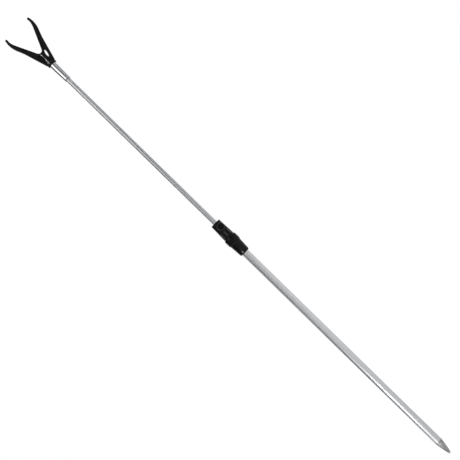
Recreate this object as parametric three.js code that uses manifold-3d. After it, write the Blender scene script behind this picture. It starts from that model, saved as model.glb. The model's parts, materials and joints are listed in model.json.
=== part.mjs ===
/**
 * A telescopic bank stick: two aluminium tubes with a forged point, a black twist lock
 * and a moulded V-shaped rod rest that screws into a chrome-plated ferrule.
 *
 * Units are millimetres, and +Z points up along the stick from the tip of the point.
 * The arms of the rod rest lie in the XZ plane. The stick is fully drawn out, its lock
 * is tight and its head is screwed down.
 */

import * as THREE from "three";
import { mergeVertices } from "three/addons/utils/BufferGeometryUtils.js";
import Module from "manifold-3d";

const wasm = await Module();
wasm.setup();

// Fits between the pieces
const slipFit = 0.1; // radial play where a piece slides or turns in another
const pressFit = 0.1; // radial play left in a pressed joint
const seatGap = 0.2; // play left between faces that rest on each other
const overrun = 2; // how far a cutter reaches past the face that it cuts

// Counts for the round work
const roundSides = 32;
const curveSteps = 5;
const bevelSteps = 2;

const outerTube = { radius: 8, wall: 1, length: 566, edge: 0.3, swell: 0.2, swellRun: 6 };
const innerTube = { radius: 5, wall: 1, length: 503, edge: 0.3 };

const spike = {
  noseLength: 33.5,
  noseFullness: 0.56, // 0.5 is a blunt paraboloid, and 1 a plain cone
  noseRings: 10,
  tipRadius: 0.6,
  faces: 4,
  faceDepth: 0.8, // how far each forged face is pressed in, at its deepest
  shankLength: 58,
  shankChamfer: 1.5,
};

const mouthBush = { spigotLength: 14, flangeThickness: 2, leadIn: 0.6 };
const guideRing = { length: 11, leadIn: 0.8 };
const endPlug = { shankLength: 20, headThickness: 3, headRadius: 6.3, leadIn: 0.8 };

const lockBody = {
  tubeLap: 32, // how far it reaches down over the lower tube
  mouthRadius: 8.4, // where its rounded end meets the tube
  endRounding: 5.2,
  footRadius: 11.3,
  sleeveLength: 25.5,
  sleeveRadius: 12.5,
  bulgeLength: 19,
  bulgeRadius: 14.05,
  bulgeRamp: 5.5,
  seamRadius: 12.35,
  neckLength: 26,
  neckRadius: 9.8,
  neckChamfer: 0.5,
  landThickness: 3.5, // the ledge between the bush and the clamp's seat
  seatFootRadius: 6.6,
  seatTopRadius: 8.6,
};

const collet = { flangeThickness: 2.7, flangeRadius: 8.95, waistRadius: 8.35, leadIn: 0.4 };
const colletSlots = { count: 4, width: 1, bridge: 5 }; // bridge is what holds the fingers

const lockNut = {
  height: 38.3,
  footRadius: 12.1,
  topRadius: 10.8,
  topRounding: 1,
  footChamfer: 0.3,
  threadPlay: 0.2,
  lipThickness: 0.8,
  lipReach: 0.2, // how far the lip hooks under the clamp's flange
  mouthPlay: 0.4,
};
const flutes = { count: 8, radius: 8, depth: 1, foot: 1.8, length: 14.5, runOut: 1.4 };
const roundel = { radius: 8.3, rim: 1.5, relief: 0.5, dish: 0.45, below: 12.6, bearing: 20 };

const ferrule = {
  length: 46.5,
  footRadius: 6.45,
  topRadius: 7.6,
  lipRadius: 6.75,
  lipHeight: 1.6,
  grooveRadius: 6.15,
  grooveHeight: 0.9,
  topChamfer: 0.4,
  tubeSeat: 32,
  stopThickness: 2,
  stopRadius: 3.4,
};

const stud = {
  radius: 4.76, // three eighths of an inch across, over the thread
  engaged: 12,
  moulded: 8.5,
  collarFoot: 2.2,
  collarThickness: 3.5,
  collarRadius: 5.6,
  chamfer: 0.6,
};

const head = {
  height: 101,
  halfSpan: 34.4,
  footDepth: 10,
  tipDepth: 6.6,
  edgeRounding: 1.7,
  skirtRadius: 9.9,
  skirtHeight: 4.2,
  skirtChamfer: 0.4,
  socketDepth: 4.2, // how far the skirt hangs over the ferrule
  socketPlay: 0.3,
  hubRadius: 5.3,
  hubFoot: 22, // height at which the hub is down to its radius
  hubBend: 12,
  hubFade: 5,
  footInset: 1.5,
  flankFoot: 7, // height and half width at which the arms leave the skirt
  flankHalf: 11,
  crotchHeight: 33.2,
  crotchRadius: 6.2,
  tipThickness: 4.8,
  tipLean: 1.2, // how far the tips lean back in from the widest part
};
const slot = { length: 19, width: 4.3, tilt: 13.6, height: 24.6, offset: 7.3, openSide: 1, web: 1.2 };
const pocket = { foot: 9, top: 63, depth: 1.5, outerRim: 3, innerRim: 2.4, hubLap: 1.5, steps: 12 };

// The arms' edges, each as a share of half the span and a share of the head's height
const armOuterShares = [[0.72, 0.54], [0.82, 0.628], [0.923, 0.715], [0.983, 0.797], [1, 0.891]];
const armInnerShares = [[0.834, 0.901], [0.785, 0.834], [0.705, 0.766]];
const pocketEndShare = 3; // power that rounds off the ends of a pocket

const finishes = {
  aluminium: { color: 0xb9bbbe, roughness: 0.32, metalness: 0.9 },
  forgedAluminium: { color: 0x6f6f72, roughness: 0.62, metalness: 0.8 },
  chrome: { color: 0xd6d8dc, roughness: 0.08, metalness: 1 },
  blackPlastic: { color: 0x17171a, roughness: 0.42, metalness: 0 },
  steel: { color: 0x8f9296, roughness: 0.35, metalness: 1 },
  nylon: { color: 0xd9d5c8, roughness: 0.55, metalness: 0 },
};

// Heights that follow from the sizes above, from the tip of the point
const lockFoot = spike.noseLength + outerTube.length - lockBody.tubeLap;
const tubeMouth = lockFoot + lockBody.tubeLap;
const upperFoot = tubeMouth + seatGap - mouthBush.spigotLength;
const ferruleFoot = upperFoot + innerTube.length + seatGap - ferrule.tubeSeat;
const headFoot = ferruleFoot + ferrule.length + seatGap - head.socketDepth;
const plugFoot = -2 * seatGap - guideRing.length - endPlug.headThickness; // from the upper tube

// Heights inside the lock, from its lower end
const lock = {};
lock.ledge = lockBody.tubeLap + mouthBush.flangeThickness + 2 * seatGap;
lock.seatFoot = lock.ledge + lockBody.landThickness;
lock.seam = lockBody.sleeveLength + lockBody.bulgeLength;
lock.neckTop = lock.seam + lockBody.neckLength;
lock.lipFoot = lock.neckTop + seatGap;
lock.lipTop = lock.lipFoot + lockNut.lipThickness;
lock.flangeFoot = lock.lipTop + seatGap;
lock.flangeTop = lock.flangeFoot + collet.flangeThickness;
lock.shoulder = lock.flangeTop + seatGap;
lock.nutFoot = lock.seam + seatGap;
lock.nutTop = lock.nutFoot + lockNut.height;

/** Starts an outline at a point; for a turned piece, x is the radius and y the height. */
function outlineFrom(x, y) {
  return new THREE.Path().moveTo(x, y);
}

/** Turns an anticlockwise outline of radii and heights about Z. */
function revolve(outline) {
  const points = outline.getPoints(curveSteps);
  if (points[0].x > 0) points.push(points[0].clone());
  return new THREE.LatheGeometry(points, roundSides).rotateX(Math.PI / 2);
}

/** Gives a flat XZ outline a depth along Y, centred on y = 0 unless its middle is given. */
function extrudeAcross(points, depth, middle = 0, rounding = 0) {
  const geometry = new THREE.ExtrudeGeometry(new THREE.Shape(points), {
    depth: depth - 2 * rounding,
    curveSegments: curveSteps,
    bevelEnabled: rounding > 0,
    bevelSize: rounding,
    bevelThickness: rounding,
    bevelOffset: -rounding,
    bevelSegments: bevelSteps,
  });
  return geometry.translate(0, 0, rounding - depth / 2 - middle).rotateX(Math.PI / 2);
}

/** Skins a stack of rings that have as many points each, and closes both ends. */
function loft(rings) {
  const sides = rings[0].length;
  const centreOf = (ring) =>
    ring.reduce((sum, point) => sum.add(point), new THREE.Vector3()).divideScalar(sides);
  const vertices = [...rings.flat(), centreOf(rings[0]), centreOf(rings[rings.length - 1])];
  const footCentre = vertices.length - 2;
  const topCentre = vertices.length - 1;
  const topStart = (rings.length - 1) * sides;
  const faces = [];
  for (let side = 0; side < sides; side += 1) {
    const next = (side + 1) % sides;
    faces.push(footCentre, next, side, topCentre, topStart + side, topStart + next);
    for (let start = 0; start < topStart; start += sides) {
      faces.push(start + side, start + next, start + sides + next);
      faces.push(start + side, start + sides + next, start + sides + side);
    }
  }
  return new THREE.BufferGeometry().setFromPoints(vertices).setIndex(faces);
}

/** Makes a solid, ready to cut or join, of a closed geometry. */
function solidOf(geometry) {
  const bare = geometry.clone();
  bare.deleteAttribute("normal");
  bare.deleteAttribute("uv");
  const merged = mergeVertices(bare);
  const corners = merged.index.array;
  const triVerts = [];
  for (let i = 0; i < corners.length; i += 3) {
    const [a, b, c] = corners.slice(i, i + 3);
    if (a !== b && b !== c && c !== a) triVerts.push(a, b, c);
  }
  return new wasm.Manifold(new wasm.Mesh({
    numProp: 3,
    vertProperties: new Float32Array(merged.attributes.position.array),
    triVerts: new Uint32Array(triVerts),
  }));
}

/** Gives a finished solid back as a geometry. */
function geometryOf(solid) {
  const mesh = solid.getMesh();
  const corners = new THREE.BufferAttribute(new Float32Array(mesh.vertProperties), 3);
  return new THREE.BufferGeometry()
    .setAttribute("position", corners)
    .setIndex(new THREE.BufferAttribute(new Uint32Array(mesh.triVerts), 1));
}

/** A tube's outline, from its lower end; a swollen end holds a pressed shank. */
function tubeOutline(tube, swell, swollenLength) {
  const bore = tube.radius - tube.wall;
  return outlineFrom(tube.radius + swell, 0)
    .lineTo(tube.radius + swell, swollenLength)
    .lineTo(tube.radius, swollenLength + (swell ? tube.swellRun : tube.edge))
    .lineTo(tube.radius, tube.length - tube.edge)
    .lineTo(tube.radius - tube.edge, tube.length)
    .lineTo(bore, tube.length)
    .lineTo(bore, swollenLength + (swell ? tube.swellRun : tube.edge))
    .lineTo(bore + swell, swollenLength)
    .lineTo(bore + swell, 0);
}

/** The lower tube, swollen where the spike's shank was pressed in. */
function makeOuterTube() {
  return revolve(tubeOutline(outerTube, outerTube.swell, spike.shankLength));
}

/** The upper tube. */
function makeInnerTube() {
  return revolve(tubeOutline(innerTube, 0, innerTube.edge));
}

/** The forged point: a full nose with four shallow faces, and a shank for the tube. */
function makeGroundSpike() {
  const baseRadius = outerTube.radius + outerTube.swell;
  const shankRadius = outerTube.radius - outerTube.wall + outerTube.swell - pressFit;
  const shankTop = spike.noseLength + spike.shankLength;
  const ring = (height, radiusAt) =>
    Array.from({ length: roundSides }, (_, side) => {
      const angle = (2 * Math.PI * side) / roundSides;
      const radius = radiusAt(angle);
      return new THREE.Vector3(radius * Math.cos(angle), radius * Math.sin(angle), height);
    });
  const noseRing = (rise) => {
    const full = THREE.MathUtils.lerp(spike.tipRadius, baseRadius, rise ** spike.noseFullness);
    const pressed = (spike.faceDepth * Math.sin(Math.PI * rise)) / 2;
    return ring(spike.noseLength * rise, (angle) => full - pressed * (1 - Math.cos(spike.faces * angle)));
  };
  const rings = [];
  for (let i = 0; i <= spike.noseRings; i += 1) rings.push(noseRing((i / spike.noseRings) ** 2));
  rings.push(ring(spike.noseLength, () => shankRadius));
  rings.push(ring(shankTop - spike.shankChamfer, () => shankRadius));
  rings.push(ring(shankTop, () => shankRadius - spike.shankChamfer));
  return loft(rings);
}

/** The bush in the lower tube's mouth, from the lower end of its spigot. */
function makeMouthBush() {
  const bore = innerTube.radius + slipFit;
  const spigot = outerTube.radius - outerTube.wall - pressFit;
  const top = mouthBush.spigotLength + mouthBush.flangeThickness;
  return revolve(
    outlineFrom(bore + mouthBush.leadIn, 0)
      .lineTo(spigot - mouthBush.leadIn, 0)
      .lineTo(spigot, mouthBush.leadIn)
      .lineTo(spigot, mouthBush.spigotLength)
      .lineTo(outerTube.radius, mouthBush.spigotLength)
      .lineTo(outerTube.radius, top)
      .lineTo(bore, top)
      .lineTo(bore, mouthBush.leadIn),
  );
}

/** The ring that keeps the upper tube's lower end central in the lower tube. */
function makeGuideRing() {
  const outside = outerTube.radius - outerTube.wall - slipFit;
  const inside = innerTube.radius - innerTube.wall - pressFit + slipFit;
  return revolve(
    outlineFrom(inside, 0)
      .lineTo(outside - guideRing.leadIn, 0)
      .lineTo(outside, guideRing.leadIn)
      .lineTo(outside, guideRing.length - guideRing.leadIn)
      .lineTo(outside - guideRing.leadIn, guideRing.length)
      .lineTo(inside, guideRing.length),
  );
}

/** The plug in the upper tube's lower end, from its head, with a journal for the ring. */
function makeEndPlug() {
  const shank = innerTube.radius - innerTube.wall - pressFit;
  const top = endPlug.headThickness + 2 * seatGap + guideRing.length + endPlug.shankLength;
  return revolve(
    outlineFrom(0, 0)
      .lineTo(endPlug.headRadius - endPlug.leadIn, 0)
      .lineTo(endPlug.headRadius, endPlug.leadIn)
      .lineTo(endPlug.headRadius, endPlug.headThickness)
      .lineTo(shank, endPlug.headThickness)
      .lineTo(shank, top - endPlug.leadIn)
      .lineTo(shank - endPlug.leadIn, top)
      .lineTo(0, top),
  );
}

/** The fixed half of the lock: rounded sleeve, bulge, and a neck with the clamp's seat. */
function makeLockBody() {
  const tubeBore = outerTube.radius + pressFit;
  const rampFoot = lockBody.sleeveLength;
  const rampTop = rampFoot + lockBody.bulgeRamp;
  const fallFoot = lock.seam - lockBody.bulgeRamp;
  const fallMiddle = lock.seam - lockBody.bulgeRamp / 3;
  const outline = outlineFrom(tubeBore, 0)
    .lineTo(lockBody.mouthRadius, 0)
    .quadraticCurveTo(lockBody.footRadius, 0, lockBody.footRadius, lockBody.endRounding)
    .lineTo(lockBody.sleeveRadius, rampFoot)
    .bezierCurveTo(
      (lockBody.sleeveRadius + lockBody.bulgeRadius) / 2, rampFoot + lockBody.bulgeRamp / 3,
      lockBody.bulgeRadius, rampTop - lockBody.bulgeRamp / 2,
      lockBody.bulgeRadius, rampTop,
    )
    .lineTo(lockBody.bulgeRadius, fallFoot)
    .quadraticCurveTo(lockBody.bulgeRadius, fallMiddle, lockBody.seamRadius, lock.seam)
    .lineTo(lockBody.neckRadius, lock.seam)
    .lineTo(lockBody.neckRadius, lock.neckTop - lockBody.neckChamfer)
    .lineTo(lockBody.neckRadius - lockBody.neckChamfer, lock.neckTop)
    .lineTo(lockBody.seatTopRadius, lock.neckTop)
    .lineTo(lockBody.seatFootRadius, lock.seatFoot)
    .lineTo(lockBody.seatFootRadius, lock.ledge)
    .lineTo(tubeBore, lock.ledge);
  return revolve(outline);
}

/** The seat's radius at a height in the lock. */
function seatRadiusAt(height) {
  const rise = (height - lock.seatFoot) / (lock.neckTop - lock.seatFoot);
  return THREE.MathUtils.lerp(lockBody.seatFootRadius, lockBody.seatTopRadius, rise);
}

/** The split clamp: a cone that the nut presses into its seat, and a flange it hangs by. */
function makeCollet() {
  const bore = innerTube.radius + slipFit;
  const foot = lock.seatFoot + seatGap;
  const body = solidOf(revolve(
    outlineFrom(bore, foot)
      .lineTo(seatRadiusAt(foot) - pressFit, foot)
      .lineTo(seatRadiusAt(lock.neckTop) - pressFit - collet.leadIn, lock.neckTop)
      .lineTo(collet.waistRadius, lock.lipFoot)
      .lineTo(collet.waistRadius, lock.flangeFoot)
      .lineTo(collet.flangeRadius, lock.flangeFoot)
      .lineTo(collet.flangeRadius, lock.flangeTop - collet.leadIn)
      .lineTo(collet.flangeRadius - collet.leadIn, lock.flangeTop)
      .lineTo(bore, lock.flangeTop),
  ));
  const slotTop = lock.flangeTop - colletSlots.bridge;
  const cuts = [];
  for (let i = 0; i < colletSlots.count; i += 1) {
    const top = i === 0 ? lock.flangeTop + overrun : slotTop;
    const height = top - (foot - overrun);
    const reach = collet.flangeRadius + overrun;
    const blade = new THREE.BoxGeometry(reach, colletSlots.width, height)
      .translate(reach / 2, 0, top - height / 2)
      .rotateZ((2 * Math.PI * i) / colletSlots.count);
    cuts.push(solidOf(blade));
  }
  return geometryOf(cuts.reduce((solid, cut) => solid.subtract(cut), body));
}

/** The nut's outside as a solid of its own, grown by an offset. */
function nutSkin(offset) {
  const foot = lockNut.footRadius + offset;
  const top = lockNut.topRadius + offset;
  return revolve(
    outlineFrom(0, lock.nutFoot)
      .lineTo(foot - lockNut.footChamfer, lock.nutFoot)
      .lineTo(foot, lock.nutFoot + lockNut.footChamfer)
      .lineTo(top, lock.nutTop - lockNut.topRounding)
      .quadraticCurveTo(top, lock.nutTop, top - lockNut.topRounding, lock.nutTop)
      .lineTo(0, lock.nutTop),
  );
}

/** The bore of the nut: thread, snap lip, flange chamber, shoulder and mouth. */
function nutBore() {
  const thread = lockBody.neckRadius + lockNut.threadPlay;
  const chamber = collet.flangeRadius + slipFit;
  const mouth = innerTube.radius + lockNut.mouthPlay;
  return revolve(
    outlineFrom(0, lock.nutFoot - overrun)
      .lineTo(thread, lock.nutFoot - overrun)
      .lineTo(thread, lock.lipFoot)
      .lineTo(collet.flangeRadius - lockNut.lipReach, lock.lipFoot)
      .lineTo(collet.flangeRadius - lockNut.lipReach, lock.lipTop)
      .lineTo(chamber, lock.lipTop)
      .lineTo(chamber, lock.shoulder)
      .lineTo(mouth, lock.shoulder)
      .lineTo(mouth, lock.nutTop + overrun)
      .lineTo(0, lock.nutTop + overrun),
  );
}

/** One flute's cutter, laid along the nut's sloping flank at a bearing about Z. */
function fluteCutter(bearing) {
  const fall = lockNut.footRadius - lockNut.topRadius;
  const slope = Math.atan(fall / (lockNut.height - lockNut.topRounding));
  const spindle = revolve(
    outlineFrom(0, 0)
      .lineTo(flutes.radius - flutes.runOut, 0)
      .lineTo(flutes.radius, flutes.runOut)
      .lineTo(flutes.radius, flutes.length - flutes.runOut)
      .lineTo(flutes.radius - flutes.runOut, flutes.length)
      .lineTo(0, flutes.length),
  );
  const out = lockNut.footRadius - flutes.foot * Math.tan(slope) + flutes.radius - flutes.depth;
  return solidOf(spindle.rotateY(-slope).translate(out, 0, lock.nutFoot + flutes.foot).rotateZ(bearing));
}

/** A disc that stands out of the nut's front at the roundel's place. */
function roundelTool(radius) {
  const reach = lockNut.footRadius + overrun;
  const bearing = THREE.MathUtils.degToRad(roundel.bearing);
  const disc = new THREE.CylinderGeometry(radius, radius, reach, roundSides)
    .translate(0, -reach / 2, 0)
    .rotateZ(bearing)
    .translate(0, 0, lock.nutTop - roundel.below);
  return solidOf(disc);
}

/** The turning half of the lock, with flutes for the fingers and a plain raised roundel. */
function makeLockNut() {
  const ring = roundelTool(roundel.radius).subtract(roundelTool(roundel.radius - roundel.rim));
  const dish = roundelTool(roundel.radius - roundel.rim).subtract(solidOf(nutSkin(-roundel.dish)));
  let nut = solidOf(nutSkin(0)).add(ring.intersect(solidOf(nutSkin(roundel.relief)))).subtract(dish);
  for (let i = 0; i < flutes.count; i += 1) {
    nut = nut.subtract(fluteCutter((2 * Math.PI * (i + 0.5)) / flutes.count - Math.PI / 2));
  }
  return geometryOf(nut.subtract(solidOf(nutBore())));
}

/** The chrome-plated socket, from its lower lip: tube seat below, stud hole above. */
function makeFerrule() {
  const tubeBore = innerTube.radius + pressFit;
  const studHole = stud.radius + slipFit;
  const seatTop = ferrule.tubeSeat + seatGap;
  const holeFoot = seatTop + ferrule.stopThickness;
  const grooveFoot = ferrule.lipHeight;
  const grooveTop = grooveFoot + ferrule.grooveHeight;
  const chamferFoot = ferrule.length - ferrule.topChamfer;
  return revolve(
    outlineFrom(tubeBore, 0)
      .lineTo(ferrule.lipRadius, 0)
      .lineTo(ferrule.lipRadius, grooveFoot)
      .lineTo(ferrule.grooveRadius, grooveFoot)
      .lineTo(ferrule.grooveRadius, grooveTop)
      .lineTo(ferrule.footRadius, grooveTop)
      .quadraticCurveTo(ferrule.topRadius, ferrule.length / 2, ferrule.topRadius, chamferFoot)
      .lineTo(ferrule.topRadius - ferrule.topChamfer, ferrule.length)
      .lineTo(studHole, ferrule.length)
      .lineTo(studHole, holeFoot)
      .lineTo(ferrule.stopRadius, holeFoot)
      .lineTo(ferrule.stopRadius, seatTop)
      .lineTo(tubeBore, seatTop),
  );
}

/** The stud, from the rest's seat on the ferrule; play grows it into its own cavity. */
function studSolid(radialPlay, endPlay) {
  const radius = stud.radius + radialPlay;
  const collarRadius = stud.collarRadius + radialPlay;
  const collarFoot = stud.collarFoot - endPlay;
  const collarTop = stud.collarFoot + stud.collarThickness + endPlay;
  const top = stud.moulded + endPlay;
  return revolve(
    outlineFrom(0, -stud.engaged)
      .lineTo(radius - stud.chamfer, -stud.engaged)
      .lineTo(radius, stud.chamfer - stud.engaged)
      .lineTo(radius, collarFoot)
      .lineTo(collarRadius, collarFoot)
      .lineTo(collarRadius, collarTop)
      .lineTo(radius, collarTop)
      .lineTo(radius, top - stud.chamfer)
      .lineTo(radius - stud.chamfer, top)
      .lineTo(0, top),
  );
}

/** The outer edge of the right arm, upwards, as a path in the XZ plane. */
function outerArmEdge() {
  const through = armOuterShares.map(([x, z]) => new THREE.Vector2(x * head.halfSpan, z * head.height));
  const tipEnd = new THREE.Vector2(head.halfSpan - head.tipLean, head.height - head.tipThickness / 2);
  return outlineFrom(head.skirtRadius - head.footInset, head.skirtHeight / 2)
    .lineTo(head.flankHalf, head.flankFoot)
    .lineTo(through[0].x, through[0].y)
    .splineThru([...through.slice(1), tipEnd])
    .getPoints(curveSteps);
}

/** The cradle edge of the right arm, downwards from its tip to the middle of the crotch. */
function innerArmEdge() {
  const tipX = head.halfSpan - head.tipLean - head.tipThickness;
  const through = armInnerShares.map(([x, z]) => new THREE.Vector2(x * head.halfSpan, z * head.height));
  const start = through[through.length - 1];
  const centre = new THREE.Vector2(0, head.crotchHeight + head.crotchRadius);
  const toStart = start.clone().sub(centre);
  const touch = toStart.angle() - Math.acos(head.crotchRadius / toStart.length());
  return outlineFrom(tipX, head.height - head.tipThickness / 2)
    .splineThru(through)
    .absarc(centre.x, centre.y, head.crotchRadius, touch, -Math.PI / 2, true)
    .getPoints(curveSteps);
}

/** The rounded tip of the right arm, from its outer edge to its cradle edge. */
function armTip() {
  const radius = head.tipThickness / 2;
  const tip = new THREE.Path();
  tip.absarc(head.halfSpan - head.tipLean - radius, head.height - radius, radius, 0, Math.PI, false);
  return tip.getPoints(curveSteps).slice(1, -1);
}

/** Joins the right half of an outline to its mirror image, leaving out doubled points. */
function mirrored(rightHalf) {
  const left = rightHalf.map((p) => new THREE.Vector2(-p.x, p.y)).reverse();
  return [...rightHalf, ...left].filter((p, i, all) => i === 0 || p.distanceTo(all[i - 1]) > pressFit / 10);
}

/** Thins a geometry towards the tips of the arms, from the foot's depth to the tip's. */
function thinTowardsTips(geometry) {
  const places = geometry.attributes.position;
  const slope = (1 - head.tipDepth / head.footDepth) / head.height;
  for (let i = 0; i < places.count; i += 1) {
    places.setY(i, places.getY(i) * (1 - slope * places.getZ(i)));
  }
  return geometry;
}

/** Gives the half width of an edge at a height, between the edge's own points. */
function edgeAt(edge, height) {
  const rising = edge[0].y < edge[edge.length - 1].y ? edge : [...edge].reverse();
  const above = rising.findIndex((p) => p.y > height);
  if (above < 1) return above < 0 ? rising[rising.length - 1].x : rising[0].x;
  const [low, high] = [rising[above - 1], rising[above]];
  return THREE.MathUtils.mapLinear(height, low.y, high.y, low.x, high.x);
}

/** The hollow in one face of one arm: it keeps a rim along each edge and runs into the hub. */
function pocketCutter(outer, inner, side, face) {
  const nearEdge = [];
  const farEdge = [];
  for (let i = 0; i <= pocket.steps; i += 1) {
    const along = i / pocket.steps;
    const height = THREE.MathUtils.lerp(pocket.foot, pocket.top, along);
    const near = Math.max(head.hubRadius - pocket.hubLap, edgeAt(inner, height) + pocket.innerRim);
    const far = edgeAt(outer, height) - pocket.outerRim;
    const middle = (near + far) / 2;
    const half = ((far - near) / 2) * (1 - Math.abs(2 * along - 1) ** pocketEndShare);
    nearEdge.push(new THREE.Vector2(side * (middle - half), height));
    farEdge.push(new THREE.Vector2(side * (middle + half), height));
  }
  const points = [...nearEdge, ...farEdge.slice(1, -1).reverse()];
  const depth = pocket.depth + overrun;
  const middle = face * (head.footDepth / 2 - pocket.depth + depth / 2);
  return solidOf(thinTowardsTips(extrudeAcross(points, depth, middle)));
}

/** The lens-shaped slot in one arm beside the hub, cut from both faces; one keeps a web. */
function slotCutters(side) {
  const half = slot.length / 2;
  const lens = outlineFrom(0, -half)
    .quadraticCurveTo(slot.width, 0, 0, half)
    .quadraticCurveTo(-slot.width, 0, 0, -half)
    .getPoints(curveSteps)
    .slice(0, -1);
  const tilt = -side * THREE.MathUtils.degToRad(slot.tilt);
  const centre = new THREE.Vector2(side * slot.offset, slot.height);
  const placed = lens.map((p) => p.rotateAround(new THREE.Vector2(), tilt).add(centre));
  const reach = head.footDepth / 2 + overrun;
  const floor = side === slot.openSide ? -overrun : slot.web / 2;
  return [-1, 1].map((face) => solidOf(extrudeAcross(placed, reach - floor, (face * (reach + floor)) / 2)));
}

/** The round hub between the arms, with its skirt, up to just above the crotch. */
function makeHub() {
  const fadeFoot = head.crotchHeight - head.hubFade;
  return revolve(
    outlineFrom(0, 0)
      .lineTo(head.skirtRadius - head.skirtChamfer, 0)
      .lineTo(head.skirtRadius, head.skirtChamfer)
      .lineTo(head.skirtRadius, head.skirtHeight)
      .quadraticCurveTo(head.hubRadius, head.hubBend, head.hubRadius, head.hubFoot)
      .lineTo(head.hubRadius, fadeFoot)
      .quadraticCurveTo(head.hubRadius, head.crotchHeight, 0, head.crotchHeight + head.hubFade / 2),
  );
}

/** The rod rest: curved arms and a hub in one moulding, hollowed, slotted and socketed. */
function makeRodRest() {
  const outer = outerArmEdge();
  const inner = innerArmEdge();
  const outline = mirrored([...outer, ...armTip(), ...inner]);
  const arms = thinTowardsTips(extrudeAcross(outline, head.footDepth, 0, head.edgeRounding));
  const cradle = [...inner, ...inner.map((p) => new THREE.Vector2(-p.x, p.y)).reverse().slice(1)];
  const socket = revolve(
    outlineFrom(0, -overrun)
      .lineTo(ferrule.topRadius + head.socketPlay, -overrun)
      .lineTo(ferrule.topRadius + head.socketPlay, head.socketDepth)
      .lineTo(0, head.socketDepth),
  );
  const studCavity = studSolid(slipFit, seatGap).translate(0, 0, head.socketDepth - seatGap);
  const hub = solidOf(makeHub()).subtract(solidOf(extrudeAcross(cradle, 2 * head.skirtRadius)));
  let rest = solidOf(arms);
  for (const side of [-1, 1]) {
    for (const face of [-1, 1]) rest = rest.subtract(pocketCutter(outer, inner, side, face));
    for (const cutter of slotCutters(side)) rest = rest.subtract(cutter);
  }
  return geometryOf(rest.add(hub).subtract(solidOf(socket)).subtract(solidOf(studCavity)));
}

/** A named piece with a finish of its own, standing at a height in its group. */
function piece(name, geometry, finish, height = 0) {
  const mesh = new THREE.Mesh(geometry, new THREE.MeshStandardMaterial(finish));
  mesh.name = name;
  mesh.position.z = height;
  return mesh;
}

/** A group of pieces that stands at a height. */
function groupAt(height, ...pieces) {
  const group = new THREE.Group();
  group.position.z = height;
  return group.add(...pieces);
}

const bankStick = new THREE.Group();
bankStick.add(
  piece("ground_spike", makeGroundSpike(), finishes.forgedAluminium),
  piece("outer_tube", makeOuterTube(), finishes.aluminium, spike.noseLength),
  piece("mouth_bush", makeMouthBush(), finishes.nylon, upperFoot),
  groupAt(
    lockFoot,
    piece("lock_body", makeLockBody(), finishes.blackPlastic),
    piece("collet", makeCollet(), finishes.nylon),
    piece("lock_nut", makeLockNut(), finishes.blackPlastic),
  ),
  groupAt(
    upperFoot,
    piece("inner_tube", makeInnerTube(), finishes.aluminium),
    piece("guide_ring", makeGuideRing(), finishes.nylon, -seatGap - guideRing.length),
    piece("end_plug", makeEndPlug(), finishes.nylon, plugFoot),
  ),
  piece("ferrule", makeFerrule(), finishes.chrome, ferruleFoot),
  groupAt(
    headFoot,
    piece("head_stud", studSolid(0, 0), finishes.steel, head.socketDepth - seatGap),
    piece("rod_rest", makeRodRest(), finishes.blackPlastic),
  ),
);

export default bankStick;
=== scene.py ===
"""The looks of a telescopic bank stick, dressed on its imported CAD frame.

Lengths are metres in the frame's own axes: +Z runs up the stick from the tip of its
point, and the arms of the rod rest lie in the XZ plane. The stick is seen from -Y.
Each sub-assembly is a class: its sizes are fields, and its methods turn, mould, forge
and dress its pieces.
"""

import json
import logging
import math
from collections.abc import Callable, Sequence
from dataclasses import dataclass, field
from enum import Enum
from functools import cache

import bmesh
import bpy
from mathutils import Matrix, Vector, noise


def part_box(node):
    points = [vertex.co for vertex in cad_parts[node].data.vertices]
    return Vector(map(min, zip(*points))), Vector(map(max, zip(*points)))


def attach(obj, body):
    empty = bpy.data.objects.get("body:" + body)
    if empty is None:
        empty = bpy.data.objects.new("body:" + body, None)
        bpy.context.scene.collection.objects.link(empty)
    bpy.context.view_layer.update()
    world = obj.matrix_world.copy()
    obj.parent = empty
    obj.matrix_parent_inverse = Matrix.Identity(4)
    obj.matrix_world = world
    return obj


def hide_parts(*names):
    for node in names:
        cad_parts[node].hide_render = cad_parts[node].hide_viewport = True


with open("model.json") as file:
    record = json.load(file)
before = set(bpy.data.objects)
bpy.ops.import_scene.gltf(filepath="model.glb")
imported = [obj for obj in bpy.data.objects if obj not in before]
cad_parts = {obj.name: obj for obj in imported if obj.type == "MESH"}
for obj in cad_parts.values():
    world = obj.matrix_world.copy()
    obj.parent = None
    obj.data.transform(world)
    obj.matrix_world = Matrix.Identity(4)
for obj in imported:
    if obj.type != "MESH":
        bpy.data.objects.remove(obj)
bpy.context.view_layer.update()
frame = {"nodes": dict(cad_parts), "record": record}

log = logging.getLogger("bank_stick")

# the point attribute that marks painted shade in the ferrule's groove and a painted highlight, partly wear,
# on the nut
WEAR_AND_PAINTED_LIGHT = "wear_and_painted_light"  # the point attribute that the finishes read
PIECE = "_piece"  # ends the name of a piece that stands for a CAD node
HUB = "rod_rest_hub"

MM = 0.001
WELD = 0.001 * MM
CREASE = 38.0  # degrees past which an edge stays sharp
SHARP = 50.0  # degrees past which it is bevelled; the nut's own crease too
LEVEL = 0.99  # rise of a normal past which its face counts as level
UNIT_GRID = 0.5  # size that makes a grid one metre wide
AXIS = Vector((0.0, 0.0, 1.0))
ORIGIN = Vector((0.0, 0.0, 0.0))

Point = tuple[float, float]


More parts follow.
